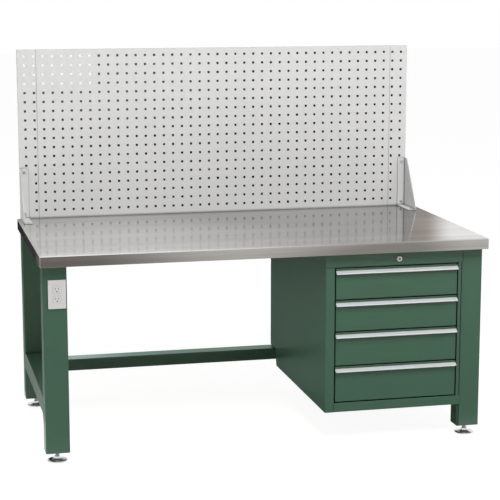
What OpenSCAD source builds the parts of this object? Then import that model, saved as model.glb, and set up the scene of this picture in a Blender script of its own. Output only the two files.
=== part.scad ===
// Stainless steel workbench: a board-cored stainless top on four tube legs, a
// four-drawer cabinet hung under the right end, an outlet in the left front leg
// and a perforated panel standing along the rear edge.
// Millimetres, +Z up, front towards -Y, origin on the floor under the middle.

/* [Worktop] */
// Length of the worktop
top_w = 1828.8; // [1700:0.1:2400]
// Depth of the worktop, front to back
top_d = 952.5; // [860:0.1:1100]
// Thickness of the worktop
top_t = 44.45; // [36:0.05:60]
// Height of the work surface above the floor
top_z = 838.2; // [800:0.1:950]
// Thickness of the stainless sheet
skin_t = 1.5; // [0.8:0.1:2.2]
// Outside radius of the folded edges
skin_r = 3.5; // [3:0.1:6]
// Width of the edge that is turned under the core
skin_lip = 22; // [12:1:32]
// Glue gap between sheet and core
core_gap = 0.2; // [0.1:0.05:0.4]

/* [Legs] */
// Width of a leg tube, seen from the front
leg_w = 95; // [85:0.1:120]
// Depth of a leg tube, seen from the side
leg_d = 76.2; // [66:0.1:90]
// Wall of a leg tube
leg_wall = 2; // [1.5:0.1:3]
// Outside corner radius of a leg tube
leg_r = 4; // [3.2:0.1:7]
// Distance from the end of the worktop to the leg
leg_side_inset = 12; // [4:0.5:30]
// Distance from the front edge of the worktop to the leg
leg_front_inset = 40; // [20:1:60]
// Distance from the rear edge of the worktop to the leg
leg_rear_inset = 2; // [1:0.5:60]
// Thickness of the plate welded on top of a leg
top_plate_t = 5; // [3:0.5:8]
// How far the top plate reaches past the leg towards the middle
top_plate_reach = 60; // [45:1:90]
// Distance from the leg's outer face to the nearer screw of a top plate
plate_screw_in = 28; // [20:1:34]
// Distance between the two screws of a top plate
plate_screw_spread = 40; // [20:1:44]
// Thickness of the nut plate in the foot of a leg
foot_plate_t = 8; // [5:0.5:12]

/* [Levelling feet] */
// Height from the floor to the bottom of the legs
foot_gap = 40.5; // [38:0.5:60]
// Diameter of the foot's disc
foot_disc_d = 80; // [60:1:90]
// Height of the disc's rim
foot_rim_h = 7; // [4:0.5:8]
// Height of the disc with its cone
foot_cone_h = 12; // [10:0.5:24]
// Diameter across the top of the cone
foot_neck_d = 30; // [26:1:36]
// Height of the hexagon above the cone
foot_hex_h = 9; // [5:0.5:12]
// Width of the small bevels round the foot
foot_bevel = 1.5; // [0.5:0.1:2]
// Width of the hexagon across its corners
foot_hex_d = 25; // [20:0.5:28]
// Diameter of the stud
stud_d = 15.9; // [12:0.1:18]
// Length of the stud above the bottom of the leg
stud_up = 58; // [40:1:80]
// Gap all round between stud and nut plate
stud_gap = 0.3; // [0.2:0.05:0.4]

/* [Rails between the legs] */
// Distance from the work surface down to the top of the side rails
rail_drop = 591; // [540:1:620]
// Height of the side rails' section
rail_h = 64; // [50:1:80]
// Sheet thickness of the rails
rail_t = 2; // [1.5:0.1:3]
// Outside bend radius of the rails
rail_r = 4; // [3.2:0.1:6]
// Radius of the curved gusset where a side rail meets the front leg
rail_fillet = 40; // [20:1:60]
// Distance from the work surface down to the top of the stringer
stringer_drop = 629; // [560:1:650]
// Height of the stringer's section
stringer_h = 50.8; // [40:0.1:70]
// Thickness of the rails' end tabs
tab_t = 3; // [2:0.5:5]
// Height of the stringer's end tabs above its lower edge
tab_lift = 10; // [8:1:12]

/* [Cabinet] */
// Width of the cabinet's front frame
cab_w = 576.8; // [480:0.1:700]
// How far the frame laps over the face of the right leg
cab_lap = 3; // [2.5:0.1:12]
// Thickness of the frame where it stands proud of the legs
frame_proud = 4.5; // [2.6:0.1:5]
// Sheet thickness of the cabinet
cab_t = 1.2; // [0.8:0.1:1.6]
// Outside bend radius of the cabinet's folds
cab_r = 2.5; // [2:0.1:4]
// Width of the left stile
stile_left_w = 38.5; // [30:0.5:50]
// Width of the right stile
stile_right_w = 13; // [12:0.5:16]
// Depth of the returns round the drawer opening
stile_return = 20; // [12:1:22]
// Width of the flanges inside the cabinet
cab_flange = 25; // [20:1:34]
// Height of the rail under the drawers
bottom_rail_h = 39; // [28:1:50]
// How far the bottom rail reaches past the right stile
bottom_ear = 3.7; // [1:0.1:10]
// Height of the riser between cabinet and worktop
riser_h = 57.5; // [50:0.5:75]
// How far the riser reaches past the right stile
riser_ear = 4.2; // [1:0.1:10]
// Gap between the cabinet and the stringer
notch_gap = 4; // [2:0.5:8]
// How far the foot of the rear cut-away leans forward
notch_run = 32; // [10:1:50]
// Distance from the drawer opening's foot up to the lower wall bolts
wall_bolt_low = 120; // [60:1:240]
// Distance from the cabinet's top down to the upper wall bolts
wall_bolt_high = 140; // [60:1:240]
// Distance from the frame back to the front bolts of the top flanges
flange_bolt_front = 170; // [60:1:260]
// Distance from the cabinet's back to the rear bolts of the top flanges
flange_bolt_rear = 140; // [60:1:260]
// Distance from the cabinet's left end to the riser's left front screw
front_screw_left = 150; // [60:1:200]
// Distance from the cabinet's right end to the riser's right front screw
front_screw_right = 130; // [60:1:200]

/* [Drawers] */
// Height of the first drawer's front
front1_h = 128; // [110:1:140]
// Height of the second drawer's front
front2_h = 128; // [110:1:140]
// Height of the third drawer's front
front3_h = 138; // [120:1:150]
// Height of the fourth drawer's front
front4_h = 148; // [120:1:160]
// Gap round each drawer front
front_gap = 4; // [3:0.5:5]
// Depth of a drawer front from face to back
front_depth = 18; // [14:0.5:22]
// Outside bend radius of a drawer front
front_r = 3; // [2.5:0.1:5]
// Width of the folded edge behind a drawer front
front_lip = 24; // [20:1:32]
// Distance from a front's top edge down to its box
box_drop = 18; // [14:1:24]
// Distance from a front's bottom edge up to its box
box_lift = 12; // [8:1:16]
// Sheet thickness of the drawer boxes
box_t = 1.2; // [0.8:0.1:1.6]
// Width of the folded edge along a box's sides
box_hem = 8; // [5:1:12]
// Clear distance from the back of the slides to the cut-away
slide_back_gap = 68.5; // [10:0.5:120]
// Distance from the frame's returns back to the slides
slide_setback = 3; // [1:0.5:12]
// Height of a slide
slide_h = 45.7; // [42:0.1:52]
// Side space that a slide takes
slide_w = 12.7; // [12.5:0.1:14]
// Sheet thickness of the slide members
slide_t = 1.5; // [1.2:0.1:1.6]
// Width of the turned edges of the slide members
slide_edge = 2.2; // [1.8:0.1:2.6]
// Space between the fixed member and the drawer box
slide_clear = 2.2; // [1.8:0.1:2.6]
// Running gap between slide members
slide_gap = 0.45; // [0.3:0.05:0.5]
// Distance from a box's bottom to the middle of its slides
slide_rise = 28; // [27:0.5:34]
// Depth of the posts that carry the slides
upright_d = 40; // [24:1:60]
// Distance from the ends of the slides to the posts
upright_inset = 35; // [10:1:80]
// Sheet thickness of the posts
upright_sheet = 1.5; // [1:0.1:2.5]

/* [Drawer pulls] */
// Distance from a front's top edge down to its pull
pull_drop = 9; // [3.5:0.5:12]
// How far a pull stands out
pull_out = 15; // [12:0.5:20]
// Height of the pull's sloping face
pull_slope_h = 8.5; // [6:0.5:20]
// Height of the pull's lip
pull_lip_h = 4.5; // [3.5:0.5:8]
// Wall of the pull
pull_t = 2; // [1.2:0.1:2.4]
// Depth of the groove along the slope
pull_groove = 0.7; // [0.4:0.1:0.9]
// Width of the bevels along the lip
pull_bevel = 0.6; // [0.3:0.1:0.8]
// How much higher the back flange ends than the lip
pull_back_lift = 2; // [0.5:0.5:3]

/* [Lock] */
// Distance from the left end of the cabinet to the lock
lock_x = 309; // [200:1:380]
// Height of the lock above the riser's bottom
lock_rise = 26; // [24:0.5:28]
// Diameter of the lock's collar
lock_collar_d = 25; // [22:0.5:30]
// How far the collar stands out
lock_collar_h = 5; // [3:0.5:8]
// Diameter of the lock's barrel
lock_barrel_d = 19; // [17:0.5:20.5]
// Length of the barrel behind the riser's face
lock_barrel_l = 22; // [16:0.5:30]
// Diameter of the turning plug
lock_plug_d = 12; // [10:0.5:13]
// Running gap round the plug
lock_gap = 0.2; // [0.1:0.05:0.3]
// Narrowing of the collar towards its face
lock_collar_slope = 4; // [2:0.5:6]
// Height of the nut behind the riser
lock_nut_h = 5; // [3:0.5:8]
// Width of the key slot
key_slot_w = 2; // [1:0.1:2.6]
// Length of the key slot
key_slot_l = 8; // [6:0.5:9]
// Depth of the key slot
key_slot_d = 14; // [10:0.5:16]
// Side of the plug's square end, which carries the cam
cam_square = 5; // [4:0.5:6]
// Width of the cam
cam_w = 11; // [9:0.5:13]
// Reach of the cam from the lock's axis
cam_reach = 19; // [14:0.5:21]
// Thickness of the cam
cam_t = 2; // [1.5:0.1:3]

/* [Outlet] */
// Distance from the leg's outer face to the plate
outlet_x = 20.4; // [14:0.1:24]
// Height of the plate's top edge under the worktop
outlet_drop = 56.5; // [30:0.5:150]
// Width of the plate
plate_w = 69.85; // [68:0.05:72]
// Height of the plate
plate_h = 114.3; // [110:0.1:125]
// Thickness of the plate
plate_t = 5.5; // [5.3:0.1:7]
// Radius of the plate's edges
plate_r = 2.6; // [2:0.1:2.6]
// Wall of the plate
plate_wall = 1.8; // [1.2:0.1:1.9]
// Width of a socket face
socket_w = 33; // [30:0.5:36]
// Height of a socket face
socket_h = 28; // [24:0.5:30]
// Corner radius of a socket face
socket_r = 3; // [1:0.1:5]
// How far the socket faces stand out of the plate
socket_proud = 1; // [0.5:0.1:2]
// Gap round the socket faces
socket_gap = 0.3; // [0.2:0.05:0.4]
// Depth of the receptacle behind the leg's face
socket_body_d = 28; // [20:1:36]
// Depth of the slots and earth holes
slot_depth = 13; // [8:1:18]
// Height of a wide blade slot
slot_wide_h = 8; // [6.5:0.1:9]
// Height of a narrow blade slot
slot_narrow_h = 6.5; // [5.5:0.1:8]
// Width of a blade slot
slot_w = 2; // [1.4:0.1:2.4]
// Distance between the middles of the two blade slots
slot_spread = 12.6; // [12:0.1:13]
// Diameter of an earth hole
earth_d = 4.8; // [4:0.1:5]
// Width of the receptacle's yoke
yoke_w = 16; // [12:0.5:20]
// Sheet thickness of the yoke and of the box in the leg
outlet_box_t = 1.5; // [1:0.1:1.8]
// Distance between the two socket centres
socket_pitch = 38.5; // [36:0.5:42]
// Width of the box in the leg
outlet_box_w = 57; // [52:0.5:59]
// Height of the box in the leg
outlet_box_h = 95; // [90:0.5:100]
// Depth of the box in the leg
outlet_box_d = 52; // [40:1:56]

/* [Perforated panel] */
// Distance from the left end of the worktop to the panel
panel_inset = 16.4; // [10:0.1:30]
// Distance from the right end of the worktop to the panel
panel_inset_right = 40.4; // [10:0.1:60]
// Height of the panel above the work surface
panel_rise = 737; // [500:1:900]
// How far the panel hangs down behind the worktop's edge
panel_hang = 40; // [36:0.5:42]
// Depth of the panel's folded edges
panel_depth = 25; // [20:0.5:40]
// Sheet thickness of the panel
panel_t = 1.5; // [1:0.1:2]
// Width of each side upright
upright_w = 81.6; // [72:0.1:90]
// Side of a square hole
hole_w = 10; // [8:0.1:12]
// Distance between holes along the panel
pitch_x = 40.8; // [36:0.1:60]
// Distance between rows of holes
pitch_z = 39.6; // [36:0.1:60]
// Distance from the panel's top edge to the first row
row_drop = 28.5; // [22:0.5:40]
// Distance from the seams to the first screw of the centre panel's lower edge
edge_screw_in = 100; // [40:1:200]

/* [Gussets] */
// Depth of a gusset's foot on the worktop
gusset_d = 162.5; // [120:0.5:200]
// Height of a gusset
gusset_h = 222; // [150:1:260]
// Depth of a gusset at its top
gusset_top_d = 32; // [26:1:50]
// Width of a gusset's foot and flange
gusset_w = 36; // [32:0.5:42]
// Sheet thickness of a gusset
gusset_t = 3; // [2:0.5:4]
// Radius of a gusset's upper corner
gusset_r = 22; // [12:1:24]
// Height of the upright nose at a gusset's front
gusset_nose = 14; // [6:0.5:24]
// Distance from a gusset's edges to its screws
gusset_screw_in = 19; // [17:0.5:20]

/* [Fasteners] */
// Diameter of the frame bolts
bolt_d = 8; // [6:0.5:10]
// Height of a bolt head or nut
bolt_head_h = 4; // [3:0.5:4.5]
// Diameter of the screws
screw_d = 5; // [4:0.5:6]
// Height of a screw head
screw_head_h = 3; // [2:0.5:4]
// Length of the screws in the core
screw_l = 28; // [20:1:32]
// Gap round a shank in its hole
shank_gap = 0.2; // [0.1:0.05:0.3]

/* [Hidden] */
$fn = 40;
over = 1;

// Heights of the frame
under_z = top_z - top_t;
leg_top_z = under_z - top_plate_t;
leg_h = leg_top_z - foot_gap;
rail_z = top_z - rail_drop;
stringer_z = top_z - stringer_drop;

// Places of the legs, measured from the worktop's front left corner
front_leg_y = leg_front_inset;
rear_leg_y = top_d - leg_rear_inset - leg_d;
inner_leg_x = leg_side_inset + leg_w;
rail_y0 = front_leg_y + leg_d;
rail_y1 = rear_leg_y;
bolt_spread = leg_w / 2;
string_spread = leg_d / 2;

// Cabinet
cab_y0 = front_leg_y - frame_proud;
cab_y1 = rear_leg_y + leg_d;
cab_wall_x = top_w - inner_leg_x;
hem_r = 0.46 * frame_proud;
cab_x1 = cab_wall_x + cab_lap;
cab_x0 = cab_x1 - cab_w;
open_x0 = cab_x0 + stile_left_w;
open_x1 = cab_x1 - stile_right_w;
cab_top = under_z - riser_h;
fronts = [front1_h, front2_h, front3_h, front4_h];
open_z0 = cab_top - sum_to(4) - 5 * front_gap;
cab_z0 = open_z0 - bottom_rail_h;
notch_z = stringer_z + notch_gap;
notch_y = rear_leg_y - notch_gap;
notch_foot_y = notch_y - notch_run;
back_lean = cab_t * sqrt(1 + pow(notch_run / (notch_z - cab_z0), 2));
wall_bolt_zs = [open_z0 + wall_bolt_low, cab_top - wall_bolt_high];
flange_bolt_ys = [cab_y0 + flange_bolt_front, cab_y1 - flange_bolt_rear];
front_screw_xs = [cab_x0 + front_screw_left, cab_x1 - front_screw_right];
lock_z = cab_top + lock_rise;

// Drawers
front_x0 = open_x0 + front_gap;
front_w = open_x1 - open_x0 - 2 * front_gap;
box_x0 = open_x0 + slide_w;
box_w = open_x1 - open_x0 - 2 * slide_w;
box_y0 = cab_y0 + front_depth;
slide_y0 = cab_y0 + stile_return + slide_setback;
slide_l = notch_foot_y - slide_back_gap - slide_y0;
box_l = slide_y0 + slide_l - box_y0;
upright_ys = [slide_y0 + upright_inset, slide_y0 + slide_l - upright_inset - upright_d];

function sum_to(n) = n == 0 ? 0 : fronts[n - 1] + sum_to(n - 1);
function front_z(i) = cab_top - sum_to(i + 1) - (i + 1) * front_gap;
function box_z(i) = front_z(i) + box_lift;
function box_h(i) = fronts[i] - box_lift - box_drop;
function slide_z(i) = box_z(i) + slide_rise;

// Outlet
plate_x0 = leg_side_inset + outlet_x;
plate_z0 = under_z - outlet_drop - plate_h;
plate_y0 = front_leg_y - plate_t;
outlet_cx = plate_x0 + plate_w / 2;
outlet_cz = plate_z0 + plate_h / 2;

// Perforated panel
panel_y0 = top_d;
panel_z0 = top_z - panel_hang;
panel_z1 = top_z + panel_rise;
panel_w = top_w - panel_inset - panel_inset_right;
panel_x1 = panel_inset + panel_w;
hole_cols = floor((panel_w - 4 * hole_w) / pitch_x) + 1;
hole_x0 = panel_inset + (panel_w - (hole_cols - 1) * pitch_x) / 2;
hole_z1 = panel_z1 - row_drop;
hole_rows = floor((hole_z1 - top_z - 2 * hole_w) / pitch_z) + 1;
seam_left = panel_inset + upright_w;
seam_right = panel_x1 - upright_w;
seam_bolt_zs = [for (k = [0 : 2]) hole_z1 - pitch_z * (k * floor(hole_rows / 2 - 1) + 1.5)];
edge_screw_z = (panel_z0 + panel_t + top_z) / 2;
edge_screw_xs = concat(
    [panel_inset + upright_w / 2, panel_x1 - upright_w / 2],
    [for (k = [0 : 4]) seam_left + edge_screw_in
        + k * (seam_right - seam_left - 2 * edge_screw_in) / 4]
);
gusset_screw_xs = [panel_inset + gusset_screw_in, panel_x1 - gusset_screw_in];
gusset_screw_zs = [top_z + gusset_screw_in, top_z + gusset_h - gusset_screw_in];
gusset_foot_screw_y = panel_y0 - gusset_d + gusset_screw_in;

// Moves a piece from the worktop's front left corner to the origin
module at_bench() {
    translate([-top_w / 2, -(top_d + panel_depth) / 2, 0]) children();
}

// A piece drawn for the left end, or its mirror image at the right end
module at_end(right) {
    if (right) translate([top_w, 0, 0]) mirror([1, 0, 0]) children();
    else children();
}

module both_ends() {
    at_end(false) children();
    at_end(true) children();
}

module facing(left) {
    if (left) mirror([1, 0, 0]) children();
    else children();
}

// Profiles drawn in X and Z and pulled along Y, or in Y and Z and pulled along X
module along_y(y0, y1) {
    translate([0, y1, 0]) rotate([90, 0, 0]) linear_extrude(y1 - y0) children();
}

module along_x(x0, x1) {
    translate([x0, 0, 0]) rotate([90, 0, 90]) linear_extrude(x1 - x0) children();
}

module round_rect(w, h, r) {
    translate([r, 0]) square([w - 2 * r, h]);
    translate([0, r]) square([w, h - 2 * r]);
    for (x = [r, w - r], y = [r, h - r]) translate([x, y]) circle(r);
}

// Rectangle with its two upper corners rounded
module crown_rect(w, h, r) {
    translate([r, 0]) square([w - 2 * r, h]);
    square([w, h - r]);
    for (x = [r, w - r]) translate([x, h - r]) circle(r);
}

// Folded channel, open downwards
module channel(w, h, t, r) {
    difference() {
        crown_rect(w, h, r);
        translate([t, -over]) crown_rect(w - 2 * t, h - t + over, r - t);
    }
}

// Block whose upright corners and upper edges are rounded like folded sheet
module soft_block(w, d, h, r) {
    translate([r, 0, 0]) cube([w - 2 * r, d, h - r]);
    translate([0, r, 0]) cube([w, d - 2 * r, h - r]);
    translate([r, r, 0]) cube([w - 2 * r, d - 2 * r, h]);
    for (x = [r, w - r], y = [r, d - r]) {
        translate([x, y, 0]) cylinder(r = r, h = h - r);
        translate([x, y, h - r]) sphere(r);
    }
    for (y = [r, d - r])
        translate([r, y, h - r]) rotate([0, 90, 0]) cylinder(r = r, h = w - 2 * r);
    for (x = [r, w - r])
        translate([x, d - r, h - r]) rotate([90, 0, 0]) cylinder(r = r, h = d - 2 * r);
}

// Pan of folded sheet, open below
module pan(w, d, h, r, t) {
    difference() {
        soft_block(w, d, h, r);
        translate([t, t, -over]) soft_block(w - 2 * t, d - 2 * t, h - t + over, r - t);
    }
}

// The same pan with its lower edges turned in to a lip
module lipped_pan(w, d, h, r, t, lip) {
    difference() {
        soft_block(w, d, h, r);
        translate([t, t, t]) soft_block(w - 2 * t, d - 2 * t, h - 2 * t, r - t);
        translate([lip, lip, -over]) cube([w - 2 * lip, d - 2 * lip, t + 2 * over]);
    }
}

// Bolt with its nut: the head bears at z = 0, the nut at z = grip
module bolt(grip) {
    translate([0, 0, -bolt_head_h]) cylinder(r = bolt_d * 0.85, h = bolt_head_h, $fn = 6);
    cylinder(d = bolt_d, h = grip + bolt_head_h);
    translate([0, 0, grip]) cylinder(r = bolt_d * 0.85, h = bolt_head_h, $fn = 6);
}

module bolt_hole(grip) {
    translate([0, 0, -over]) cylinder(d = bolt_d + 2 * shank_gap, h = grip + 2 * over);
}

// Screw whose head bears at z = 0 and whose shank is l long
module screw(l) {
    translate([0, 0, -screw_head_h / 2]) cylinder(d = 2 * screw_d, h = screw_head_h / 2);
    translate([0, 0, -screw_head_h])
        cylinder(d1 = 1.4 * screw_d, d2 = 2 * screw_d, h = screw_head_h / 2);
    cylinder(d = screw_d, h = l);
}

module screw_hole(l) {
    translate([0, 0, -over]) cylinder(d = screw_d + 2 * shank_gap, h = l + 2 * over);
}

// Small bolt: a screw with a nut at z = grip
module small_bolt(grip) {
    screw(grip + screw_head_h);
    translate([0, 0, grip]) cylinder(r = screw_d * 1.1, h = screw_head_h, $fn = 6);
}

// Where the fasteners go. Local +Z points into the piece that is fastened.
module side_rail_bolts() {
    for (s = [-1, 1]) {
        x = leg_side_inset + leg_w / 2 + s * bolt_spread / 2;
        z = rail_z - rail_h / 2;
        translate([x, rail_y0, z]) rotate([90, 0, 0]) children();
        translate([x, rail_y1, z]) rotate([-90, 0, 0]) children();
    }
}

module stringer_bolts() {
    for (s = [-1, 1])
        translate([inner_leg_x, rear_leg_y + leg_d / 2 + s * string_spread / 2,
            stringer_z - stringer_h / 2]) rotate([0, -90, 0]) children();
}

module wall_bolts() {
    for (y = [front_leg_y + leg_d / 2, rear_leg_y + leg_d / 2], z = wall_bolt_zs)
        translate([cab_wall_x, y, z]) rotate([0, 90, 0]) children();
}

module flange_bolts() {
    for (x = [cab_x0 + cab_flange / 2 + cab_t, cab_wall_x - cab_flange / 2 - cab_t],
        y = flange_bolt_ys) translate([x, y, cab_top]) children();
}

module plate_screws() {
    for (s = [0, 1]) {
        x = leg_side_inset + plate_screw_in + s * plate_screw_spread;
        translate([x, rail_y0 + top_plate_reach / 2, under_z]) children();
        translate([x, rail_y1 - top_plate_reach / 2, under_z]) children();
    }
}

module riser_screws() {
    for (x = [cab_x0 + cab_flange / 2 + cab_t, cab_wall_x - cab_flange / 2 - cab_t],
        y = flange_bolt_ys) translate([x, y, under_z]) children();
    for (x = front_screw_xs)
        translate([x, cab_y0 + cab_flange / 2 + cab_t, under_z]) children();
}

module edge_screws() {
    for (x = edge_screw_xs)
        translate([x, top_d, edge_screw_z]) rotate([90, 0, 0]) children();
}

module gusset_foot_screws() {
    for (x = gusset_screw_xs)
        translate([x, gusset_foot_screw_y, top_z]) rotate([180, 0, 0]) children();
}

module gusset_flange_screws() {
    for (x = gusset_screw_xs, z = gusset_screw_zs)
        translate([x, panel_y0, z]) rotate([-90, 0, 0]) children();
}

module seam_bolts() {
    for (z = seam_bolt_zs, x = [seam_left, seam_right])
        translate([x, panel_y0 + panel_depth / 2, z]) rotate([0, 90, 0]) children();
}

// Worktop
module worktop_skin() {
    color("gainsboro") at_bench() difference() {
        translate([0, 0, under_z]) lipped_pan(top_w, top_d, top_t, skin_r, skin_t, skin_lip);
        edge_screws() screw_hole(skin_t);
        gusset_foot_screws() screw_hole(skin_t);
    }
}

module worktop_core() {
    side = skin_t + core_gap;
    lip = skin_lip + core_gap;
    color("burlywood") at_bench() difference() {
        union() {
            translate([side, side, under_z + side])
                soft_block(top_w - 2 * side, top_d - 2 * side, top_t - 2 * side,
                    skin_r - side);
            translate([lip, lip, under_z])
                cube([top_w - 2 * lip, top_d - 2 * lip, top_t / 2]);
        }
        both_ends() plate_screws() screw_hole(screw_l);
        riser_screws() screw_hole(screw_l);
        edge_screws() screw_hole(screw_l);
        gusset_foot_screws() screw_hole(screw_l);
    }
}

// Legs
module leg_tube(rear) {
    y = rear ? rear_leg_y : front_leg_y;
    translate([leg_side_inset, y, foot_gap]) linear_extrude(leg_h) difference() {
        round_rect(leg_w, leg_d, leg_r);
        translate([leg_wall, leg_wall])
            round_rect(leg_w - 2 * leg_wall, leg_d - 2 * leg_wall, leg_r - leg_wall);
    }
}

module leg(right, rear) {
    color("darkslategray") at_bench() difference() {
        at_end(right) difference() {
            leg_tube(rear);
            side_rail_bolts() bolt_hole(leg_wall);
            if (rear) stringer_bolts() bolt_hole(leg_wall);
        }
        if (right) wall_bolts() bolt_hole(leg_wall);
        if (!right && !rear) outlet_hole();
    }
}

module leg_top_plates() {
    color("slategray") at_bench() both_ends() difference() {
        for (y = [front_leg_y, rail_y1 - top_plate_reach])
            translate([leg_side_inset, y, leg_top_z])
                cube([leg_w, leg_d + top_plate_reach, top_plate_t]);
        plate_screws() translate([0, 0, -top_plate_t]) screw_hole(top_plate_t);
    }
}

module leg_foot_plates() {
    inset = leg_wall + shank_gap;
    color("slategray") at_bench() both_ends()
        for (y = [front_leg_y, rear_leg_y]) translate([leg_side_inset, y, foot_gap])
            linear_extrude(foot_plate_t) difference() {
                translate([inset, inset])
                    round_rect(leg_w - 2 * inset, leg_d - 2 * inset, leg_r - leg_wall);
                translate([leg_w / 2, leg_d / 2]) circle(d = stud_d + 2 * stud_gap);
            }
}

// Levelling foot: coned disc, hexagon and stud
module foot(right, rear) {
    y = rear ? rear_leg_y : front_leg_y;
    rim = foot_disc_d / 2;
    neck = foot_neck_d / 2;
    color("silver") at_bench() at_end(right)
        translate([leg_side_inset + leg_w / 2, y + leg_d / 2, 0]) {
            rotate_extrude() polygon([
                [0, 0], [rim - foot_bevel, 0], [rim, foot_bevel],
                [rim, foot_rim_h - foot_bevel], [rim - foot_bevel, foot_rim_h],
                [neck, foot_cone_h - foot_bevel], [neck - foot_bevel, foot_cone_h],
                [0, foot_cone_h]
            ]);
            translate([0, 0, foot_cone_h - over])
                cylinder(d = foot_hex_d, h = foot_hex_h + over, $fn = 6);
            translate([0, 0, foot_cone_h]) cylinder(d = stud_d, h = foot_gap + stud_up - foot_cone_h);
        }
}

// Rails: folded channels with end tabs
module side_rail(right) {
    x0 = leg_side_inset;
    z0 = rail_z - rail_h;
    color("darkslategray") at_bench() at_end(right) difference() {
        union() {
            along_y(rail_y0, rail_y1) translate([x0, z0])
                channel(leg_w, rail_h, rail_t, rail_r);
            for (y = [rail_y0, rail_y1 - tab_t])
                translate([x0 + rail_t / 2, y, z0])
                    cube([leg_w - rail_t, tab_t, rail_h - rail_t / 2]);
            for (x = [x0, x0 + leg_w - rail_t])
                along_x(x, x + rail_t) difference() {
                    translate([rail_y0, z0 - rail_fillet]) square([rail_fillet, rail_fillet + rail_t]);
                    translate([rail_y0 + rail_fillet, z0 - rail_fillet]) circle(rail_fillet);
                }
        }
        side_rail_bolts() translate([0, 0, -tab_t]) bolt_hole(tab_t);
    }
}

module stringer() {
    z0 = stringer_z - stringer_h;
    x1 = top_w - inner_leg_x;
    color("darkslategray") at_bench() difference() {
        union() {
            along_x(inner_leg_x, x1) translate([rear_leg_y, z0])
                channel(leg_d, stringer_h, rail_t, rail_r);
            for (x = [inner_leg_x, x1 - tab_t])
                translate([x, rear_leg_y + rail_t / 2, z0 + tab_lift])
                    cube([tab_t, leg_d - rail_t, stringer_h - tab_lift - rail_t / 2]);
        }
        both_ends() stringer_bolts() translate([0, 0, -tab_t]) bolt_hole(tab_t);
    }
}

module frame_bolts() {
    grip = tab_t + leg_wall;
    color("silver") at_bench() both_ends() {
        side_rail_bolts() translate([0, 0, -tab_t]) bolt(grip);
        stringer_bolts() translate([0, 0, -tab_t]) bolt(grip);
    }
}

module worktop_screws() {
    color("silver") at_bench() {
        both_ends() plate_screws()
            translate([0, 0, -top_plate_t]) screw(top_plate_t + screw_l);
        riser_screws() translate([0, 0, -cab_t]) screw(cab_t + screw_l);
    }
}

// Side view of the cabinet with its lower rear corner cut away for the stringer
module cabinet_outline() {
    polygon([
        [cab_y0, cab_z0], [notch_foot_y, cab_z0], [notch_y, notch_z],
        [cab_y1, notch_z], [cab_y1, cab_top], [cab_y0, cab_top]
    ]);
}

// Plan of the left side: wall, stile with its return, and rear flange
module left_side_plan() {
    d = cab_y1 - cab_y0;
    translate([cab_x0, cab_y0]) difference() {
        round_rect(stile_left_w, d, cab_r);
        translate([cab_t, cab_t])
            round_rect(stile_left_w - 2 * cab_t, d - 2 * cab_t, cab_r - cab_t);
        translate([cab_t, stile_return]) square([stile_left_w, d - stile_return - cab_t]);
    }
}

// Plan of the right side: hemmed stile over the leg, wall, return and rear flange
module right_side_plan() {
    translate([open_x1, cab_y0]) round_rect(stile_right_w, frame_proud, hem_r);
    translate([cab_wall_x - cab_t, cab_y0 + frame_proud / 2])
        square([cab_t, cab_y1 - cab_y0 - frame_proud / 2]);
    translate([open_x1, cab_y0 + frame_proud / 2])
        square([cab_t, stile_return - frame_proud / 2]);
    translate([cab_wall_x - cab_flange, cab_y1 - cab_t]) square([cab_flange, cab_t]);
}

module cabinet_side_left() {
    color("darkolivegreen") at_bench() difference() {
        union() {
            intersection() {
                translate([0, 0, cab_z0]) linear_extrude(cab_top - cab_z0) left_side_plan();
                along_x(cab_x0 - over, open_x0 + over) cabinet_outline();
            }
            translate([cab_x0 + cab_t / 2, cab_y0 + stile_return, cab_top - cab_t])
                cube([cab_flange, cab_y1 - cab_y0 - stile_return - cab_t / 2, cab_t]);
        }
        flange_bolts() translate([0, 0, -cab_t]) bolt_hole(cab_t);
    }
}

module cabinet_side_right() {
    color("darkolivegreen") at_bench() difference() {
        union() {
            intersection() {
                translate([0, 0, cab_z0]) linear_extrude(cab_top - cab_z0) right_side_plan();
                along_x(open_x1 - cab_flange, cab_x1 + over) cabinet_outline();
                translate([0, 0, cab_z0]) union() {
                    translate([open_x1 - cab_flange, cab_y0 + frame_proud, 0])
                        cube([cab_flange + stile_right_w, cab_y1, cab_top]);
                    translate([open_x1 - over, cab_y0 - over, bottom_rail_h])
                        cube([stile_right_w + 2 * over, cab_y1, cab_top]);
                }
            }
            translate([cab_wall_x - cab_flange, cab_y0 + stile_return, cab_top - cab_t])
                cube([cab_flange - cab_t / 2, cab_y1 - cab_y0 - stile_return - cab_t / 2, cab_t]);
        }
        flange_bolts() translate([0, 0, -cab_t]) bolt_hole(cab_t);
        wall_bolts() translate([0, 0, -cab_t]) bolt_hole(cab_t);
    }
}

// Floor of the cabinet with the rail under the drawers and its ear over the leg
module cabinet_bottom() {
    y0 = cab_y0 + frame_proud / 2;
    y1 = cab_y0 + stile_return;
    color("darkolivegreen") at_bench() {
        translate([cab_x0 + cab_t, y1, cab_z0])
            cube([cab_wall_x - cab_x0 - 2 * cab_t, notch_foot_y - back_lean - y1, cab_t]);
        translate([open_x0, y0, cab_z0]) cube([open_x1 - open_x0, y1 - y0 + over, cab_t]);
        translate([open_x0, y0, open_z0 - cab_t]) cube([open_x1 - open_x0, y1 - y0, cab_t]);
        along_x(open_x0, cab_x1 + bottom_ear) translate([cab_y0, cab_z0])
            round_rect(frame_proud, bottom_rail_h, hem_r);
    }
}

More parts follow.
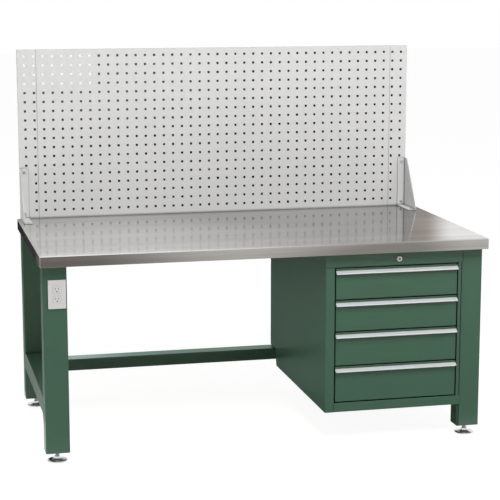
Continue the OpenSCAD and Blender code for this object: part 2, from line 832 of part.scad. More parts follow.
// Back of the cabinet, stepped and sloped over the stringer
module cabinet_back() {
    color("darkolivegreen") at_bench()
        along_x(cab_x0 + cab_t, cab_wall_x - cab_t) polygon([
            [notch_foot_y - back_lean, cab_z0], [notch_foot_y, cab_z0], [notch_y, notch_z],
            [cab_y1 - cab_t, notch_z], [cab_y1 - cab_t, cab_top - cab_t],
            [cab_y1 - 2 * cab_t, cab_top - cab_t], [cab_y1 - 2 * cab_t, notch_z + cab_t],
            [notch_y - back_lean, notch_z + cab_t]
        ]);
}

// Riser between the cabinet and the worktop
module riser_profile() {
    difference() {
        round_rect(cab_flange + cab_r, riser_h, cab_r);
        translate([cab_t, cab_t])
            round_rect(cab_flange + cab_r, riser_h - 2 * cab_t, cab_r - cab_t);
        translate([cab_flange, -over]) square([cab_flange, riser_h + 2 * over]);
    }
}

module riser_front() {
    color("darkolivegreen") at_bench() difference() {
        union() {
            along_x(cab_x0, cab_wall_x) translate([cab_y0, cab_top]) riser_profile();
            along_x(cab_x0, cab_x0 + cab_t) translate([cab_y0, cab_top])
                round_rect(cab_flange, riser_h, cab_r);
            along_x(cab_wall_x - cab_t, cab_x1 + riser_ear) translate([cab_y0, cab_top])
                round_rect(frame_proud, riser_h, hem_r);
        }
        translate([cab_x0 + lock_x, cab_y0, lock_z]) rotate([-90, 0, 0])
            translate([0, 0, -over]) cylinder(d = lock_barrel_d + 2 * shank_gap, h = 2 * over + cab_t);
        riser_screws() translate([0, 0, -cab_t]) screw_hole(cab_t);
    }
}

module riser_side(right) {
    color("darkolivegreen") at_bench() difference() {
        translate([right ? cab_wall_x : cab_x0, 0, cab_top])
            facing(right) along_y(cab_y0 + cab_flange, cab_y1) riser_profile();
        flange_bolts() bolt_hole(cab_t);
        riser_screws() translate([0, 0, -cab_t]) screw_hole(cab_t);
    }
}

module cabinet_bolts() {
    color("silver") at_bench() {
        wall_bolts() translate([0, 0, -cab_t]) bolt(cab_t + leg_wall);
        flange_bolts() translate([0, 0, -cab_t]) bolt(2 * cab_t);
    }
}

// Posts that carry the slides, standing on the cabinet's floor
module slide_post(depth) {
    difference() {
        square([depth, upright_d]);
        translate([-over, upright_sheet])
            square([depth + over - upright_sheet, upright_d - 2 * upright_sheet]);
    }
}

module slide_uprights() {
    h = cab_top - cab_z0 - 2 * cab_t;
    left = stile_left_w - cab_t;
    right = cab_wall_x - cab_t - open_x1;
    color("darkgray") at_bench() for (y = upright_ys) {
        translate([cab_x0 + cab_t, y, cab_z0 + cab_t]) linear_extrude(h) slide_post(left);
        translate([cab_wall_x - cab_t, y, cab_z0 + cab_t])
            mirror([1, 0, 0]) linear_extrude(h) slide_post(right);
    }
}

// Slide members, drawn from the cabinet side towards the drawer.
// Each lies inside the next and is held in by that one's turned edges.
slide_half = slide_h / 2;
fixed_end = slide_w - slide_clear;
mid_x = slide_t + slide_gap;
mid_half = slide_half - slide_t - slide_gap;
mid_end = fixed_end - slide_t - slide_gap;
runner_x = mid_x + slide_t + slide_gap;
runner_half = mid_half - slide_t - slide_gap;
runner_head = mid_end - slide_t - slide_gap;
runner_neck = mid_half - slide_t - slide_edge - slide_gap;

module slide_channel(x0, x1, half) {
    translate([x0, -half]) square([slide_t, 2 * half]);
    for (s = [0, 1]) mirror([0, s]) {
        translate([x0, half - slide_t]) square([x1 - x0, slide_t]);
        translate([x1 - slide_t, half - slide_t - slide_edge])
            square([slide_t, slide_edge + slide_t]);
    }
}

module slide_runner() {
    translate([slide_w - slide_t, -runner_neck]) square([slide_t, 2 * runner_neck]);
    for (s = [0, 1]) mirror([0, s]) {
        translate([runner_x, runner_neck - slide_t]) square([slide_w - runner_x, slide_t]);
        translate([runner_x, runner_neck - slide_t])
            square([runner_head - runner_x, runner_half - runner_neck + slide_t]);
    }
}

module both_slides(i) {
    translate([open_x0, 0, slide_z(i)]) along_y(slide_y0, slide_y0 + slide_l) children();
    translate([open_x1, 0, slide_z(i)]) mirror([1, 0, 0])
        along_y(slide_y0, slide_y0 + slide_l) children();
}

module slide_fixed_members() {
    color("lightsteelblue") at_bench() for (i = [0 : 3])
        both_slides(i) slide_channel(0, fixed_end, slide_half);
}

module drawer_slide_mid(i) {
    color("lightblue") at_bench() both_slides(i) slide_channel(mid_x, mid_end, mid_half);
}

module drawer_runner(i) {
    color("lightskyblue") at_bench() both_slides(i) slide_runner();
}

// Drawer box: folded tray with hemmed side walls
module drawer_box(i) {
    color("lightgray") at_bench() translate([box_x0, box_y0, box_z(i)]) {
        difference() {
            cube([box_w, box_l, box_h(i)]);
            translate([box_t, box_t, box_t])
                cube([box_w - 2 * box_t, box_l - 2 * box_t, box_h(i)]);
        }
        for (x = [box_t / 2, box_w - box_hem])
            translate([x, box_t / 2, box_h(i) - box_t])
                cube([box_hem - box_t / 2, box_l - box_t, box_t]);
    }
}

module drawer_front(i) {
    color("seagreen") at_bench() translate([front_x0, box_y0, front_z(i)])
        rotate([90, 0, 0]) lipped_pan(front_w, fronts[i], front_depth, front_r, box_t, front_lip);
}

// Pull: aluminium profile with a sloping grooved face, a lip and a back flange
module pull_profile() {
    slope = sqrt(pull_out * pull_out + pull_slope_h * pull_slope_h);
    drop = pull_t * slope / pull_out;
    rate = pull_slope_h / pull_out;
    foot = pull_slope_h + pull_lip_h;
    inner = pull_out - pull_t;
    groove_from = 0.45 * pull_out;
    groove_to = 0.51 * pull_out;
    polygon([
        [0, 0], [groove_from, -groove_from * rate],
        [groove_from, -groove_from * rate - pull_groove],
        [groove_to, -groove_to * rate - pull_groove],
        [groove_to, -groove_to * rate],
        [pull_out - pull_bevel, -(pull_out - pull_bevel) * rate],
        [pull_out, -pull_slope_h - pull_bevel], [pull_out, -foot + pull_bevel],
        [pull_out - pull_bevel, -foot], [inner, -foot], [inner, -inner * rate - drop],
        [pull_t, -pull_t * rate - drop], [pull_t, -foot + pull_back_lift],
        [0, -foot + pull_back_lift]
    ]);
}

module drawer_pull(i) {
    z = front_z(i) + fronts[i] - pull_drop;
    color("whitesmoke") at_bench() translate([front_x0 + front_w, cab_y0, z])
        rotate([90, 0, -90]) linear_extrude(front_w) pull_profile();
}

// Lock: barrel with collar and nut, turning plug with key slot, and cam
module at_lock() {
    translate([cab_x0 + lock_x, cab_y0, lock_z]) rotate([-90, 0, 0]) children();
}

module lock_body() {
    bore = lock_plug_d + 2 * lock_gap;
    color("silver") at_bench() at_lock() difference() {
        union() {
            translate([0, 0, -lock_collar_h]) cylinder(
                d1 = lock_collar_d - lock_collar_slope, d2 = lock_collar_d,
                h = lock_collar_h * 0.6);
            translate([0, 0, -lock_collar_h * 0.4])
                cylinder(d = lock_collar_d, h = lock_collar_h * 0.4);
            cylinder(d = lock_barrel_d, h = lock_barrel_l);
            translate([0, 0, cab_t]) cylinder(d = lock_collar_d, h = lock_nut_h, $fn = 6);
        }
        translate([0, 0, -lock_collar_h - over])
            cylinder(d = bore, h = lock_collar_h + lock_barrel_l + 2 * over);
    }
}

module lock_plug() {
    color("gray") at_bench() at_lock() difference() {
        union() {
            translate([0, 0, -lock_collar_h])
                cylinder(d = lock_plug_d, h = lock_collar_h + lock_barrel_l + lock_gap);
            translate([-cam_square / 2, -cam_square / 2, lock_barrel_l])
                cube([cam_square, cam_square, cam_t + lock_gap]);
        }
        translate([-key_slot_w / 2, -key_slot_l / 2, -lock_collar_h - over])
            cube([key_slot_w, key_slot_l, key_slot_d + over]);
    }
}

module lock_cam() {
    half = cam_w / 2;
    color("dimgray") at_bench() at_lock() translate([0, 0, lock_barrel_l + lock_gap])
        linear_extrude(cam_t) difference() {
            union() {
                circle(half + 1);
                translate([0, -half]) square([cam_reach - half, 2 * half]);
                translate([cam_reach - half, 0]) circle(half);
            }
            translate([-cam_square / 2, -cam_square / 2]) square([cam_square, cam_square]);
        }
}

// Outlet in the left front leg
module outlet_hole() {
    translate([outlet_cx - outlet_box_w / 2 - shank_gap, front_leg_y - over,
        outlet_cz - outlet_box_h / 2 - shank_gap])
        cube([outlet_box_w + 2 * shank_gap, leg_wall + 2 * over, outlet_box_h + 2 * shank_gap]);
}

module outlet_box() {
    t = outlet_box_t;
    color("darkgray") at_bench()
        translate([outlet_cx - outlet_box_w / 2, front_leg_y, outlet_cz - outlet_box_h / 2])
            difference() {
                cube([outlet_box_w, outlet_box_d, outlet_box_h]);
                translate([t, -over, t])
                    cube([outlet_box_w - 2 * t, outlet_box_d - t + over, outlet_box_h - 2 * t]);
            }
}

// Duplex receptacle: two faces with blade slots and a round earth hole, on a
// yoke that bears on the ends of the box
module outlet_receptacle() {
    face_y = plate_y0 - socket_proud;
    back_y = front_leg_y + leg_wall;
    color("whitesmoke") at_bench() translate([outlet_cx, 0, outlet_cz]) difference() {
        union() {
            for (s = [-1, 1]) translate([0, 0, s * socket_pitch / 2])
                along_y(face_y, back_y + socket_body_d)
                    translate([-socket_w / 2, -socket_h / 2])
                        round_rect(socket_w, socket_h, socket_r);
            translate([-socket_w / 2, back_y, -socket_pitch / 2])
                cube([socket_w, socket_body_d, socket_pitch]);
            translate([-yoke_w / 2, back_y, outlet_box_t - outlet_box_h / 2])
                cube([yoke_w, outlet_box_t, outlet_box_h - 2 * outlet_box_t]);
        }
        for (s = [-1, 1]) translate([0, face_y - over, s * socket_pitch / 2]) {
            translate([-(slot_spread + slot_w) / 2, 0, -slot_w / 2])
                cube([slot_w, slot_depth, slot_wide_h]);
            translate([(slot_spread - slot_w) / 2, 0, 0])
                cube([slot_w, slot_depth, slot_narrow_h]);
            translate([0, 0, -socket_h / 4]) rotate([-90, 0, 0])
                cylinder(d = earth_d, h = slot_depth);
        }
    }
}

module outlet_plate() {
    w = socket_w + 2 * socket_gap;
    h = socket_h + 2 * socket_gap;
    color("lightgray") at_bench() difference() {
        translate([plate_x0, front_leg_y, plate_z0]) rotate([90, 0, 0])
            pan(plate_w, plate_h, plate_t, plate_r, plate_wall);
        for (s = [-1, 1]) translate([outlet_cx, 0, outlet_cz + s * socket_pitch / 2])
            along_y(plate_y0 - over, plate_y0 + plate_wall + over)
                translate([-w / 2, -h / 2]) round_rect(w, h, socket_r + socket_gap);
    }
}

// Perforated panel: a sheet between two heights with the holes of the common
// grid that lie inside its width, and folded edges behind
function grid_cols(x0, x1) = [
    for (k = [0 : hole_cols - 1]) let (x = hole_x0 + k * pitch_x)
        if (x - hole_w / 2 > x0 + 2 * panel_t && x + hole_w / 2 < x1 - 2 * panel_t) x
];

module holed_sheet(x0, x1) {
    shank = screw_d + 2 * shank_gap;
    difference() {
        translate([x0, panel_z0]) square([x1 - x0, panel_z1 - panel_z0]);
        for (x = grid_cols(x0, x1), r = [0 : hole_rows - 1])
            translate([x - hole_w / 2, hole_z1 - r * pitch_z - hole_w / 2]) square(hole_w);
        for (x = edge_screw_xs) translate([x, edge_screw_z]) circle(d = shank);
        for (x = gusset_screw_xs, z = gusset_screw_zs) translate([x, z]) circle(d = shank);
    }
}

module panel_piece(x0, x1) {
    h = panel_z1 - panel_z0;
    fold = panel_depth - panel_t / 2;
    along_y(panel_y0, panel_y0 + panel_t) holed_sheet(x0, x1);
    for (z = [panel_z0, panel_z1 - panel_t])
        translate([x0, panel_y0 + panel_t / 2, z]) cube([x1 - x0, fold, panel_t]);
    difference() {
        for (x = [x0, x1 - panel_t])
            translate([x, panel_y0 + panel_t / 2, panel_z0]) cube([panel_t, fold, h]);
        seam_bolts() translate([0, 0, -panel_t]) screw_hole(2 * panel_t);
    }
}

module pegboard_centre() {
    color("whitesmoke") at_bench() panel_piece(seam_left, seam_right);
}

module pegboard_upright_left() {
    color("lightgray") at_bench() panel_piece(panel_inset, seam_left);
}

module pegboard_upright_right() {
    color("lightgray") at_bench() panel_piece(seam_right, panel_x1);
}

// Gusset bracket: sloping web with a rounded upper corner, foot and flange
function arc_points(c, r, a0, a1) = [
    for (k = [0 : 12]) let (a = a0 + (a1 - a0) * k / 12) c + r * [cos(a), sin(a)]
];

module gusset_web() {
    y0 = panel_y0 - gusset_d;
    y1 = panel_y0 - gusset_top_d;
    z1 = top_z + gusset_h;
    lean = atan2(z1 - top_z - gusset_nose, y1 - y0);
    reach = gusset_r * tan(lean / 2);
    polygon(concat(
        [[panel_y0, top_z], [panel_y0, z1]],
        arc_points([y1 + reach, z1 - gusset_r], gusset_r, 90, 90 + lean),
        [[y0, top_z + gusset_nose], [y0, top_z]]
    ));
}

module gusset(right) {
    color("lightgray") at_bench() difference() {
        translate([right ? panel_x1 : panel_inset, 0, 0]) facing(right) {
            along_x(0, gusset_t) gusset_web();
            translate([0, panel_y0 - gusset_d, top_z]) cube([gusset_w, gusset_d, gusset_t]);
            translate([0, panel_y0 - gusset_t, top_z]) cube([gusset_w, gusset_t, gusset_h]);
        }
        gusset_foot_screws() translate([0, 0, -gusset_t]) screw_hole(gusset_t);
        gusset_flange_screws() translate([0, 0, -gusset_t]) screw_hole(gusset_t);
    }
}

module panel_fasteners() {
    color("silver") at_bench() {
        edge_screws() translate([0, 0, -panel_t]) screw(panel_t + screw_l);
        gusset_foot_screws() translate([0, 0, -gusset_t]) screw(gusset_t + screw_l);
        gusset_flange_screws() translate([0, 0, -gusset_t]) small_bolt(gusset_t + panel_t);
        seam_bolts() translate([0, 0, -panel_t]) small_bolt(2 * panel_t);
    }
}

worktop_skin();
worktop_core();
leg(false, false);  // leg_front_left
leg(true, false);  // leg_front_right
leg(false, true);  // leg_rear_left
leg(true, true);  // leg_rear_right
leg_top_plates();
leg_foot_plates();
side_rail(false);  // side_rail_left
side_rail(true);  // side_rail_right
stringer();
frame_bolts();
worktop_screws();
foot(false, false);  // foot_front_left
foot(true, false);  // foot_front_right
foot(false, true);  // foot_rear_left
foot(true, true);  // foot_rear_right
cabinet_side_left();
cabinet_side_right();
cabinet_bottom();
cabinet_back();
riser_front();
riser_side(false);  // riser_side_left
riser_side(true);  // riser_side_right
slide_uprights();
slide_fixed_members();
cabinet_bolts();
drawer_box(0);  // drawer1_box
drawer_front(0);  // drawer1_front
drawer_pull(0);  // drawer1_pull
drawer_runner(0);  // drawer1_runner
drawer_slide_mid(0);  // drawer1_slide_mid
drawer_box(1);  // drawer2_box
drawer_front(1);  // drawer2_front
drawer_pull(1);  // drawer2_pull
drawer_runner(1);  // drawer2_runner
drawer_slide_mid(1);  // drawer2_slide_mid
drawer_box(2);  // drawer3_box
drawer_front(2);  // drawer3_front
drawer_pull(2);  // drawer3_pull
drawer_runner(2);  // drawer3_runner
drawer_slide_mid(2);  // drawer3_slide_mid
drawer_box(3);  // drawer4_box
drawer_front(3);  // drawer4_front
drawer_pull(3);  // drawer4_pull
drawer_runner(3);  // drawer4_runner
drawer_slide_mid(3);  // drawer4_slide_mid
lock_body();
lock_plug();
lock_cam();
outlet_box();
outlet_receptacle();
outlet_plate();
pegboard_centre();
pegboard_upright_left();
pegboard_upright_right();
gusset(false);  // gusset_left
gusset(true);  // gusset_right
panel_fasteners();
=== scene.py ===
# %% [markdown]
# # A stainless steel workbench
# This lesson dresses a workbench that is already built as exact CAD solids:
# a stainless top on green tube legs, a cabinet of four drawers, a perforated
# panel behind and an outlet in one leg. The solids come in as a fixed frame.
# They give every place and size, so the work here is light, camera, finishes
# and the few turned pieces that a smooth surface shows off best.

# %% Load the frame
import bpy
import math
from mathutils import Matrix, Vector


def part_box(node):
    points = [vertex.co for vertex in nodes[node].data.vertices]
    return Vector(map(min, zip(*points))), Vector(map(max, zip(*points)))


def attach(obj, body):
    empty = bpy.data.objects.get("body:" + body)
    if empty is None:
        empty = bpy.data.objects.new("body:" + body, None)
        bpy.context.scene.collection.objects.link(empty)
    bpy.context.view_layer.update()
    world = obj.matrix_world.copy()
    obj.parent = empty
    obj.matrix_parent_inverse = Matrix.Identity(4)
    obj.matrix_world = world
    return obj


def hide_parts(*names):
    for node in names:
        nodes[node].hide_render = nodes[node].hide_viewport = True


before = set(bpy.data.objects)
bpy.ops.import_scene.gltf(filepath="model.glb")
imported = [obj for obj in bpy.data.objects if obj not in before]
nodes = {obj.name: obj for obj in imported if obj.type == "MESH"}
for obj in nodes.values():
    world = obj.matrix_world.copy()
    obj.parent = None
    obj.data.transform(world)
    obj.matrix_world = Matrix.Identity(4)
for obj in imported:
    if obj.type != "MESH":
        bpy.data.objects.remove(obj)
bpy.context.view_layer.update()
MM = 0.001

# %% [markdown]
# ## The camera
# A photograph of furniture is taken from far away with a long lens, which
# keeps its upright edges parallel. The place, the direction and the lens were
# solved from the corners of the top, the legs and the panel, so the render
# can be laid over the photograph.

# %% Camera
CAMERA_AT = Vector((-1.50235, -6.47317, 1.92707))
CAMERA_LOOK = Vector((0.22636, 0.95809, -0.17555))
LENS = 114.22

bpy.ops.object.camera_add(location=CAMERA_AT)
camera = bpy.context.object
camera.rotation_mode = "QUATERNION"
camera.rotation_quaternion = CAMERA_LOOK.to_track_quat("-Z", "Y")
camera.data.lens = LENS
camera.data.sensor_width = 36
camera.data.clip_end = 60
bpy.context.scene.camera = camera
bpy.context.scene.view_settings.view_transform = "Standard"
print("camera", tuple(round(v, 3) for v in CAMERA_AT), "lens", LENS)

# %% [markdown]
# ## A way to write materials
# A node material can be wired by hand in the shader editor. In a script the
# same wiring reads best as sums, so a small class wraps a socket and turns
# + - * into Math nodes. One method adds any other node.

# %% Sums between sockets
RAYS = 6


class Wire:
    """A value on its way between two shader nodes, so that a sum reads as a sum."""

    def __init__(self, finish, socket):
        self.finish = finish
        self.socket = socket

    def maths(self, operation, other, turned=False):
        pair = (other, self) if turned else (self, other)
        return self.finish.add("Math", {"operation": operation}, {0: pair[0], 1: pair[1]})

    def __add__(self, other): return self.maths("ADD", other)
    def __radd__(self, other): return self.maths("ADD", other, True)
    def __sub__(self, other): return self.maths("SUBTRACT", other)
    def __rsub__(self, other): return self.maths("SUBTRACT", other, True)
    def __mul__(self, other): return self.maths("MULTIPLY", other)
    def __rmul__(self, other): return self.maths("MULTIPLY", other, True)

    def over(self, edge): return self.maths("GREATER_THAN", edge)
    def under(self, edge): return self.maths("LESS_THAN", edge)

    def ramp(self, low, high, out_low=0.0, out_high=1.0):
        """Runs from out_low to out_high, smoothly, as the value runs from low to high."""
        return self.finish.add("MapRange", {"interpolation_type": "SMOOTHSTEP"},
            {0: self, 1: low, 2: high, 3: out_low, 4: out_high})


class Finish:
    """One material, or the world: its node tree, and the way to add nodes to it."""

    def __init__(self, name, world=None):
        self.end = "World" if world else "Material"
        self.material = world or bpy.data.materials.new(name)
        self.material.use_nodes = True
        self.tree = self.material.node_tree
        self.tree.nodes.clear()
        self.place = None

    def add(self, kind, settings=None, sockets=None, out=0):
        """Adds a shader node, sets it, feeds its sockets and gives back one output."""
        node = self.tree.nodes.new("ShaderNode" + kind)
        for key, value in (settings or {}).items():
            setattr(node, key, value)
        for key, value in (sockets or {}).items():
            if isinstance(value, Wire):
                self.tree.links.new(value.socket, node.inputs[key])
            else:
                node.inputs[key].default_value = value
        return Wire(self, node.outputs[out])

    def spot(self, scale=(1, 1, 1)):
        """Object coordinates, stretched by scale."""
        if self.place is None:
            self.place = self.add("TexCoord", out=3)
        return self.add("Mapping", sockets={0: self.place, 3: scale})

    def axis(self, which):
        """One of the object coordinates, in metres: 0 is X, 1 is Y and 2 is Z."""
        self.spot()
        return self.add("SeparateXYZ", sockets={0: self.place}, out=which)

    def noise(self, size, detail=2.0, scale=(1, 1, 1), rough=0.5):
        return self.add("TexNoise", sockets={
            "Vector": self.spot(scale), "Scale": size, "Detail": detail, "Roughness": rough})

    def tint(self, amount, first, second):
        """The colour first where amount is 0 and second where it is 1."""
        return self.add("Mix", {"data_type": "RGBA"}, {0: amount, 6: first, 7: second}, out=2)

    def bump(self, height, distance, strength=1.0, normal=None):
        feeds = {"Height": height, "Distance": distance, "Strength": strength}
        if normal:
            feeds["Normal"] = normal
        return self.add("Bump", sockets=feeds)

    def edge(self, radius):
        """A normal that rounds every edge, as paint and folded sheet do."""
        return self.add("Bevel", {"samples": RAYS}, {"Radius": radius})

    def open_air(self, reach):
        """1 in the open, and less in a gap, where other faces within reach stand around."""
        return self.add("AmbientOcclusion", {"samples": RAYS}, {"Distance": reach}, out=1)

    def surface(self, **feeds):
        """The shader itself. Words in a name are joined by an underscore."""
        feeds = {key.replace("_", " ").title(): value for key, value in feeds.items()}
        self.close(self.add("BsdfPrincipled", sockets=feeds))
        return self.material

    def close(self, shader):
        out = self.tree.nodes.new("ShaderNodeOutput" + self.end)
        self.tree.links.new(shader.socket, out.inputs[0])
        return self.material


def rgb(red, green, blue):
    """A colour as a paint chart gives it, 0 to 255, made linear for the shader."""
    line = [v / 255 for v in (red, green, blue)]
    return tuple(v / 12.92 if v <= 0.04045 else ((v + 0.055) / 1.055) ** 2.4 for v in line) + (1,)


print("a green of the paint chart in linear light:", [round(v, 3) for v in rgb(76, 104, 88)])

# %% [markdown]
# ## Studio floor and world
# The bench stands in an empty studio, on white paper that runs on behind it.
# A real studio makes the paper white with strong light, but so much light
# would bleach the bench too. The Light Path node tells which kind of ray is
# asking, so here the paper and the world are white to the eye, in gloss and
# through glass, and give the bench itself only a little light. The paper
# keeps a share of its matt self, which holds the bench's shadow.

# %% World
WORLD_LIGHT = 0.24
WHITE = (1, 1, 1, 1)


def looked_at(finish):
    """1 for rays from the camera, from gloss and through glass, and 0 for plain light."""
    eye, gloss, glass = (finish.add("LightPath", out=name) for name in (
        "Is Camera Ray", "Is Glossy Ray", "Is Transmission Ray"))
    return eye.maths("MAXIMUM", gloss).maths("MAXIMUM", glass)


world = bpy.data.worlds.new("studio")
bpy.context.scene.world = world
air = Finish("studio", world)
soft = air.add("Background", sockets={0: WHITE, 1: WORLD_LIGHT})
white = air.add("Background", sockets={0: WHITE, 1: 1.0})
air.close(air.add("MixShader", sockets={0: looked_at(air), 1: soft, 2: white}))
print("world light", WORLD_LIGHT)

# %% Floor
PAPER = 60.0
PAPER_GLOW = 0.72
GLOW_STRENGTH = 1.28


def only_selected(piece):
    """Deselects all else, so that an operator acts on this piece alone."""
    bpy.ops.object.select_all(action="DESELECT")
    piece.select_set(True)
    bpy.context.view_layer.objects.active = piece


bpy.ops.object.select_all(action="DESELECT")
bpy.ops.mesh.primitive_plane_add(size=PAPER)
paper = bpy.context.object
paper.name = "studio_floor"
sheet = Finish("studio_paper")
matt = sheet.add("BsdfDiffuse", sockets={0: (0.86, 0.86, 0.86, 1)})
glow = sheet.add("Emission", sockets={0: WHITE, 1: GLOW_STRENGTH})
paper.data.materials.append(sheet.close(
    sheet.add("MixShader", sockets={0: looked_at(sheet) * PAPER_GLOW, 1: matt, 2: glow})))
print("floor", paper.dimensions[:2])

# %% [markdown]
# ## Lamps
# Furniture is lit with soft boxes, whose size softens the shadows. A large one
# hangs high in front and does most of the work. A weak one at the right keeps
# the shaded sides open, and a low one at the left reaches the cabinet's side
# under the top. Area lamps are soft boxes as they are. They are kept out of
# reflections, because a mirror image of a lamp burns out on the steel.

# %% Lamps
def lamp(name, at, target, size, power):
    """A square soft box that shines from at towards target."""
    bpy.ops.object.light_add(type="AREA", location=at)
    box = bpy.context.object
    box.name = name
    box.data.size = size
    box.data.energy = power
    aim = Vector(target) - Vector(at)
    box.rotation_mode = "QUATERNION"
    box.rotation_quaternion = aim.to_track_quat("-Z", "Y")
    box.visible_glossy = False
    return box


lamp("key_lamp", (0.1, -3.5, 4.9), (0, 0, 0.7), 2.6, 264)
lamp("side_lamp", (3.8, -2.2, 2.4), (0, 0, 0.7), 1.8, 24)
lamp("low_lamp", (-3.6, 0.40, 1.0), (0, 0, 0.4), 1.2, 30)

# %% [markdown]
# ## Flags
# Metal and gloss paint are shaped by what they reflect, so a studio is full
# of cards. Photographers call the dark ones flags. Each card here was placed
# by the rule of the mirror: from the camera to the face, and on from the face
# to the card. Only reflections see them, and each runs from one colour to
# another along the bench.

# %% A card for reflections
OVER_FLOOR = 12 * MM


def flag(name, corners, first, second, from_x, to_x):
    """A card that only reflections see: first up to from_x along the bench, second from to_x."""
    bpy.ops.object.select_all(action="DESELECT")
    bpy.ops.mesh.primitive_plane_add(size=1)
    card = bpy.context.object
    card.name = name
    for vertex, corner in zip((0, 1, 3, 2), corners):
        card.data.vertices[vertex].co = corner
    face = Finish(name)
    along = face.axis(0).ramp(from_x, to_x)
    card.data.materials.append(face.close(
        face.add("Emission", sockets={0: face.tint(along, first + (1,), second + (1,)), 1: 1.0})))
    card.visible_camera = card.visible_diffuse = card.visible_shadow = False
    card.visible_transmission = False
    return card


def on_floor(x0, x1, y0, y1):
    """The corners of a card that lies just above the floor."""
    return tuple((x, y, OVER_FLOOR) for x, y in ((x0, y0), (x1, y0), (x1, y1), (x0, y1)))


# %% Flags
# The folded front edge of the top, dark at the left and light at the right
flag("flag_front", on_floor(-7, 7, -10, -2.4),
    (0.17, 0.155, 0.145), (0.72, 0.70, 0.68), -0.2, 1.2)
# The drawer fronts and the fronts of the legs
flag("flag_near", on_floor(-3, 3, -2.4, -0.62),
    (0.50, 0.51, 0.50), (0.30, 0.30, 0.30), -0.6, 0.4)
# The front of the stringer
flag("flag_below", on_floor(-0.74, 0.805, -0.62, 0.35),
    (0.10, 0.11, 0.10), (0.04, 0.05, 0.04), 0.0, 0.6)
# The outer sides of the left legs and the left end of the top
flag("flag_left", on_floor(-8, -0.95, 0.1, 3.3),
    (0.04, 0.04, 0.04), (0.42, 0.44, 0.42), -1.85, -1.5)
flag("flag_gap", on_floor(-0.95, -0.70, 0.62, 3.3),
    (0.05, 0.05, 0.05), (0.06, 0.06, 0.06), -0.9, -0.7)
# The side of the cabinet
flag("flag_under", on_floor(-0.70, 0.6, 0.35, 3.3),
    (0.06, 0.06, 0.06), (0.18, 0.22, 0.20), -0.70, -0.45)
flag("flag_far", on_floor(-8, 0.6, 3.3, 10),
    (0.02, 0.02, 0.02), (0.05, 0.05, 0.05), -1.5, -0.5)
# The right end of the top
flag("flag_back", ((-3, 3.2, 1.2), (2.3, 3.2, 1.2), (2.3, 3.2, 2.6), (-3, 3.2, 2.6)),
    (0.40, 0.36, 0.33), (1.0, 1.0, 1.0), 1.95, 2.15)
# The top of the stringer, a pale blue at the left that turns to green
flag("flag_low", ((-0.46, 3.15, 0.6), (1.0, 3.15, 0.6), (1.0, 3.15, 1.15), (-0.46, 3.15, 1.15)),
    (2.8, 3.7, 3.8), (0.75, 1.30, 1.08), -0.45, 0.05)

# %% [markdown]
# ## Stainless steel
# The top is one sheet folded over a board. Its brushing runs along the bench,
# so reflections smear across the brushing and stay sharp along it. Real
# brushing could be painted as a picture of scratches. Here a noise stretched
# some six hundred times along X gives the fine lines, and their bump gives
# the smear. Two wider noises add the streaks and swathes that the brushing
# wheel and years of wiping leave. The base colour is also darker right of the
# middle and towards the rear: a painted reflection, which dims what the steel
# mirrors there.
# Brushed steel also throws a little light back broadly, as a matt surface
# does. A lower Metallic towards the front edge stands for that share.

# %% Stainless top
LINES, STREAKS, SWATHES, BANDS = (2.2, 1300, 1300), (0.5, 34, 34), (0.45, 13, 13), (0.5, 42, 42)
SCRATCH_DEPTH = 0.03 * MM
FOLD_R = 1.2 * MM

top_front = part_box("worktop_skin")[0].y
steel = Finish("stainless")
along, from_front = steel.axis(0), steel.axis(1) - top_front
lines = steel.noise(1.0, 3.0, scale=LINES, rough=0.6)
streaks = steel.noise(1.0, 4.0, scale=STREAKS, rough=0.65).ramp(0.32, 0.68)
swathes = steel.noise(1.0, 2.0, scale=SWATHES).ramp(0.36, 0.64)
brushed = lines * 0.32 + streaks * 0.14 + swathes * 0.16 + 0.32
# painted reflection: the base colour is darker right of the middle and towards the rear
painted_dim_reflection = (along.ramp(-0.6, 0.5, -0.18, 0.62) - along.ramp(0.55, 0.85, 0.0, 0.50)
    + from_front.ramp(0.35, 0.90, 0.0, 0.50))
broad = from_front.ramp(0.0, 0.20, 0.38, 0.06) * from_front.over(3 * MM)
stainless = steel.surface(
    base_color=steel.tint(brushed - painted_dim_reflection, rgb(150, 148, 145), rgb(240, 239, 237)),
    metallic=1.0 - broad,
    roughness=steel.noise(1.0, 2.0, scale=BANDS) * 0.03 + 0.075,
    normal=steel.bump(lines, SCRATCH_DEPTH, 0.15, steel.edge(FOLD_R)))
print("brushing stretched", round(LINES[1] / LINES[0]), "times, front at y =", round(top_front, 4))

# %% [markdown]
# ## Powder coat
# Powder paint is baked on, and it flows out to a satin skin with a fine
# orange peel. A plain colour would look like plastic, so the skin gets a
# small bump, and its depth and gloss drift a little from place to place.
# Where two painted sheets meet, little light gets in and a dark line shows.
# The Ambient Occlusion node finds such gaps from the shapes around, and the
# colour is darkened there as painted shade. Some joints are closed to a hair
# and still show a line of shade, at the panel's uprights and between the
# cabinet and the right leg, and a painted shadow line draws those.

# %% A baked paint
PEEL_DEPTH, PEEL_STRENGTH = 0.05 * MM, 0.35
PAINT_EDGE = 1.1 * MM
GAP_REACH = 12 * MM


def powder_coat(name, shades, gloss, shadow_line=None):
    """A paint of two close shades, with painted shade in its gaps where little light gets in.
    A painted shadow line is given by the X where it starts, its width, and how far it moves
    along X above which height."""
    deep, pale, gap = shades
    coat = Finish(name)
    peel = coat.noise(420.0, 2.0)
    drift = coat.noise(2.2, 3.0)
    # painted shade: the colour turns to the gap shade where Ambient Occlusion finds faces close
    # around
    lit = coat.open_air(GAP_REACH).ramp(0.40, 0.95)
    # painted shadow line: the same shade drawn as a thin band along a joint
    if shadow_line:
        from_x, width, move, height = shadow_line
        past = coat.axis(0) - from_x - coat.axis(2).over(height) * move
        lit = lit * (1.0 - past.over(0.0) * past.under(width))
    return coat.surface(
        base_color=coat.tint(lit, gap, coat.tint(drift * 0.8 + peel * 0.2, deep, pale)),
        roughness=gloss + drift * 0.08,
        normal=coat.bump(peel, PEEL_DEPTH, PEEL_STRENGTH, coat.edge(PAINT_EDGE)))
